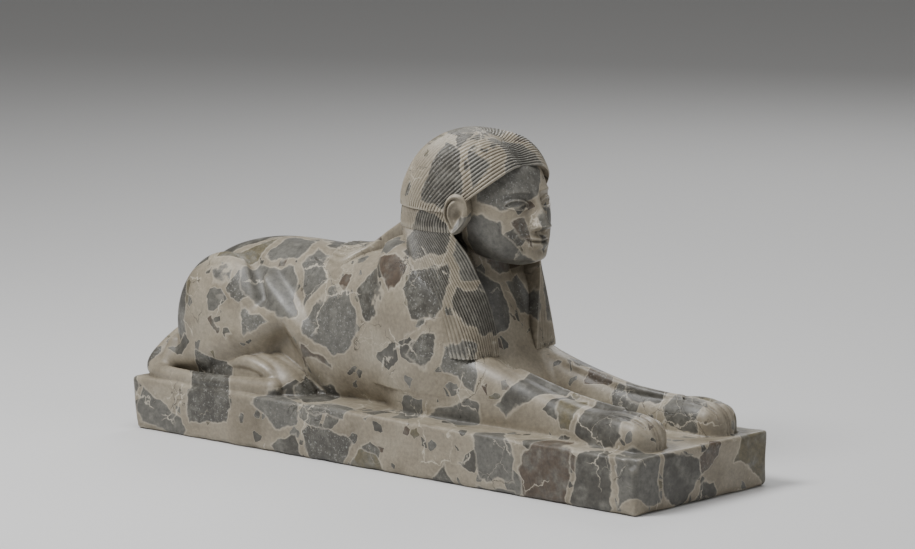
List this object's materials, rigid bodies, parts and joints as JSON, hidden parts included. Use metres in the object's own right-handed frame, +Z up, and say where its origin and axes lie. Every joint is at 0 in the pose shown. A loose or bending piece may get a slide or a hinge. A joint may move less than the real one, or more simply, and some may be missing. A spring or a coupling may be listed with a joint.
{
  "type": "sphinx statue",
  "caption": "Recumbent sphinx with a striated long wig and outstretched forelegs, carved in one block with its plinth.",
  "frame": {"origin": "middle of the underside of the plinth", "axes": "+X the way the figure faces, +Y the figure's left, +Z up"},
  "size_m": [0.4697, 0.14, 0.2319],
  "materials": {
    "breccia": "polished breccia, softly worn: tan matrix with dark angular clasts"
  },
  "bodies": {
    "root": {"sphinx": "breccia"}
  },
  "joints": []
}
